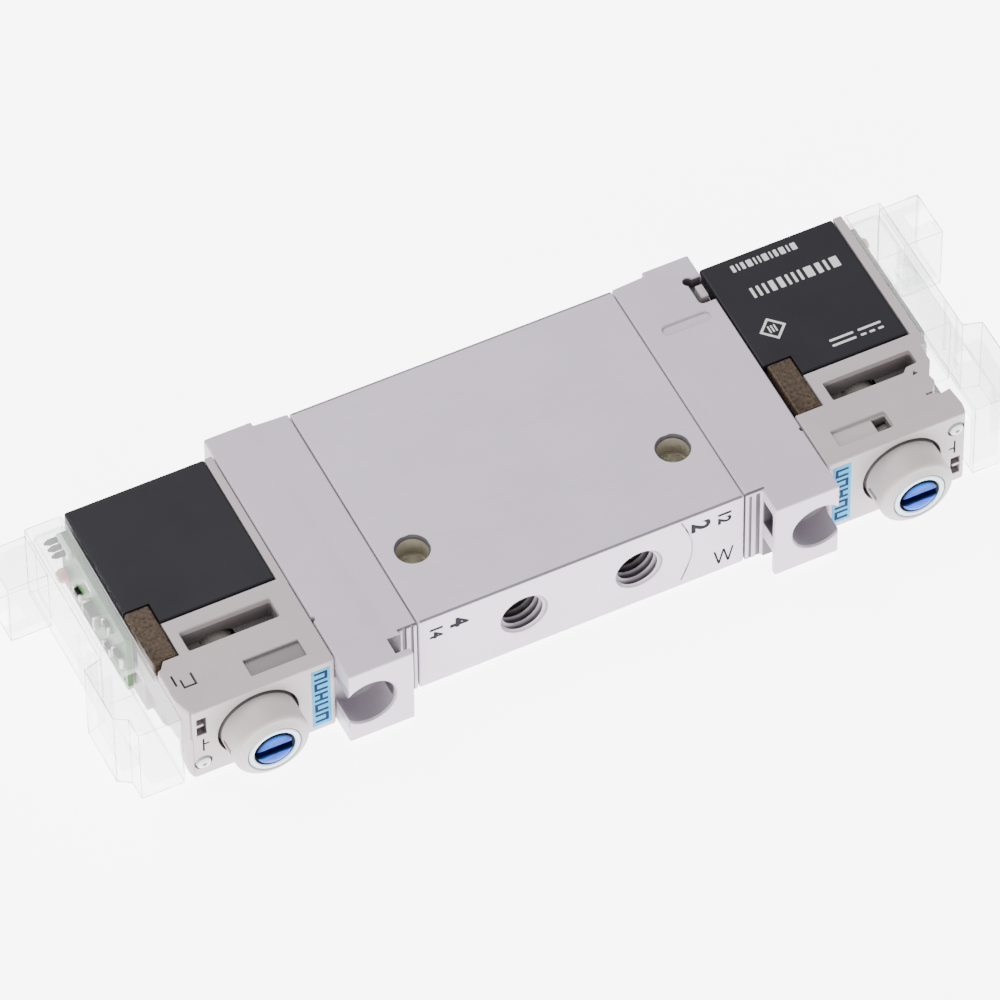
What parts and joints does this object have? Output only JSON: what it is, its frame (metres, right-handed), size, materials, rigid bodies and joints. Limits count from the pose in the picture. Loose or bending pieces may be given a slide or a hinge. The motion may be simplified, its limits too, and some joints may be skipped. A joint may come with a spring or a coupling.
{
  "type": "solenoid directional valve",
  "caption": "Slim pneumatic directional valve: flat aluminium body with a sliding spool, threaded ports, and a pilot solenoid with push-and-turn override and clear plug cover at each end.",
  "frame": {"origin": "middle of the valve body's lower flat side", "axes": "+X along the spool towards the right pilot unit, -Y out of the working-port face, +Z through the valve's 10 mm thickness"},
  "size_m": [0.101, 0.0337, 0.01],
  "materials": {
    "aluminium": "clear anodised, fine brushed",
    "adapter_plastic": "moulded grey, satin",
    "frame_plastic": "moulded warm grey, satin",
    "coil_black": "moulded near-black, fine grain",
    "bobbin_nylon": "natural nylon",
    "copper": "enamelled copper wire",
    "bronzed_steel": "brown passivated steel",
    "steel": "turned, bright",
    "rubber": "black nitrile",
    "white_plastic": "white acetal",
    "blue_plastic": "moulded blue, satin gloss",
    "clear_plastic": "clear moulded polycarbonate",
    "green_board": "green solder mask",
    "gold": "gold flash on brass",
    "red_lens": "tinted lens"
  },
  "bodies": {
    "valve": {"valve_body": "aluminium", "left_face_seal": "rubber", "left_end_adapter": "adapter_plastic", "left_pilot_seal": "rubber", "left_pilot_frame": "frame_plastic", "left_coil_jacket": "coil_black", "left_coil_bobbin": "bobbin_nylon", "left_coil_winding": "copper", "left_flux_yoke": "bronzed_steel", "left_pole_core": "steel", "left_armature_spring": "steel", "left_override_boss": "frame_plastic", "left_override_spring": "steel", "left_clear_cover": "clear_plastic", "left_circuit_board": "green_board", "left_contact_pin_1": "gold", "left_contact_pin_2": "gold", "left_contact_pin_3": "gold", "left_indicator_led": "red_lens", "left_adapter_screw_1": "steel", "left_adapter_screw_2": "steel", "right_face_seal": "rubber", "right_end_adapter": "adapter_plastic", "right_pilot_seal": "rubber", "right_pilot_frame": "frame_plastic", "right_coil_jacket": "coil_black", "right_coil_bobbin": "bobbin_nylon", "right_coil_winding": "copper", "right_flux_yoke": "bronzed_steel", "right_pole_core": "steel", "right_armature_spring": "steel", "right_override_boss": "frame_plastic", "right_override_spring": "steel", "right_clear_cover": "clear_plastic", "right_circuit_board": "green_board", "right_contact_pin_1": "gold", "right_contact_pin_2": "gold", "right_contact_pin_3": "gold", "right_indicator_led": "red_lens", "right_adapter_screw_1": "steel", "right_adapter_screw_2": "steel"},
    "spool_set": {"spool": "steel", "spool_seal_1": "rubber", "spool_seal_2": "rubber", "spool_seal_3": "rubber", "spool_seal_4": "rubber", "spool_seal_5": "rubber", "spool_seal_6": "rubber"},
    "left_armature_set": {"left_armature": "steel", "left_armature_pad": "rubber"},
    "left_push": {"left_override_plunger": "white_plastic"},
    "left_turn": {"left_override_head": "blue_plastic"},
    "right_armature_set": {"right_armature": "steel", "right_armature_pad": "rubber"},
    "right_push": {"right_override_plunger": "white_plastic"},
    "right_turn": {"right_override_head": "blue_plastic"}
  },
  "joints": [
    {"name": "spool_shift", "type": "slide", "parent": "valve", "child": "spool_set", "axis": [1, 0, 0], "range_m": [0, 0.0024]},
    {"name": "left_armature_lift", "type": "slide", "parent": "valve", "child": "left_armature_set", "axis": [0, 1, 0], "range_m": [0, 0.0005], "stiffness_N_per_m": 150, "springref_m": -0.002, "deforming": ["left_armature_spring"]},
    {"name": "left_override_push", "type": "slide", "parent": "valve", "child": "left_push", "axis": [0, 1, 0], "range_m": [0, 0.0012], "stiffness_N_per_m": 400, "springref_m": -0.002, "deforming": ["left_override_spring"]},
    {"name": "left_override_turn", "type": "hinge", "parent": "left_push", "child": "left_turn", "pos_m": [-0.03445, -0.0184, 0.005], "axis": [0, 1, 0], "range_deg": [0, 90]},
    {"name": "right_armature_lift", "type": "slide", "parent": "valve", "child": "right_armature_set", "axis": [0, 1, 0], "range_m": [0, 0.0005], "stiffness_N_per_m": 150, "springref_m": -0.002, "deforming": ["right_armature_spring"]},
    {"name": "right_override_push", "type": "slide", "parent": "valve", "child": "right_push", "axis": [0, 1, 0], "range_m": [0, 0.0012], "stiffness_N_per_m": 400, "springref_m": -0.002, "deforming": ["right_override_spring"]},
    {"name": "right_override_turn", "type": "hinge", "parent": "right_push", "child": "right_turn", "pos_m": [0.03445, -0.0184, 0.005], "axis": [0, 1, 0], "range_deg": [0, 90]}
  ]
}
